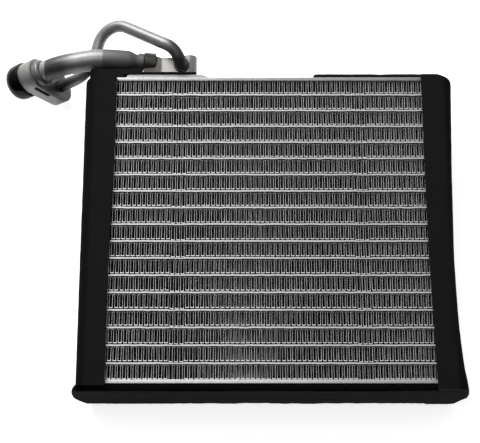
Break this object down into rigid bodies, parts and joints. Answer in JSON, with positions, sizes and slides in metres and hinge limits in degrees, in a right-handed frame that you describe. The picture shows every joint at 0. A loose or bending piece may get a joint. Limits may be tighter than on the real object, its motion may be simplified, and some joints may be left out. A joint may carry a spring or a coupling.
{
  "type": "automotive evaporator core",
  "caption": "Plate and fin evaporator core with foam-wrapped tanks, a port block and two bent pipes that end in an oblong valve flange with a plug over the suction port.",
  "frame": {"origin": "middle of the core's width and height, on the plane of the rear foam flaps that it rests on", "axes": "+X right along the fin rows, +Y up the core towards the pipes, +Z out of the front air face"},
  "size_m": [0.336, 0.2874, 0.067],
  "materials": {
    "fins": "folded bright sheet",
    "plates": "brazed, dull",
    "block": "machined",
    "pipes": "drawn, satin",
    "flange": "machined",
    "cap": "moulded, slightly glossy",
    "foam": "closed cell foam sheet"
  },
  "bodies": {
    "root": {"fin_row_01": "fins", "fin_row_02": "fins", "fin_row_03": "fins", "fin_row_04": "fins", "fin_row_05": "fins", "fin_row_06": "fins", "fin_row_07": "fins", "fin_row_08": "fins", "fin_row_09": "fins", "fin_row_10": "fins", "fin_row_11": "fins", "fin_row_12": "fins", "fin_row_13": "fins", "fin_row_14": "fins", "fin_row_15": "fins", "fin_row_16": "fins", "fin_row_17": "fins", "fin_row_18": "fins", "plate_tube_01": "plates", "plate_tube_02": "plates", "plate_tube_03": "plates", "plate_tube_04": "plates", "plate_tube_05": "plates", "plate_tube_06": "plates", "plate_tube_07": "plates", "plate_tube_08": "plates", "plate_tube_09": "plates", "plate_tube_10": "plates", "plate_tube_11": "plates", "plate_tube_12": "plates", "plate_tube_13": "plates", "plate_tube_14": "plates", "plate_tube_15": "plates", "plate_tube_16": "plates", "plate_tube_17": "plates", "top_end_plate": "plates", "bottom_end_plate": "plates", "passage_cover": "plates", "port_block": "block", "suction_pipe": "pipes", "liquid_pipe": "pipes", "flange_block": "flange", "retainer_plate": "flange", "suction_cap": "cap", "left_foam_wrap": "foam", "right_foam_wrap": "foam", "bottom_foam_strip": "foam", "top_foam_strip": "foam", "top_foam_pad": "foam"}
  },
  "joints": []
}
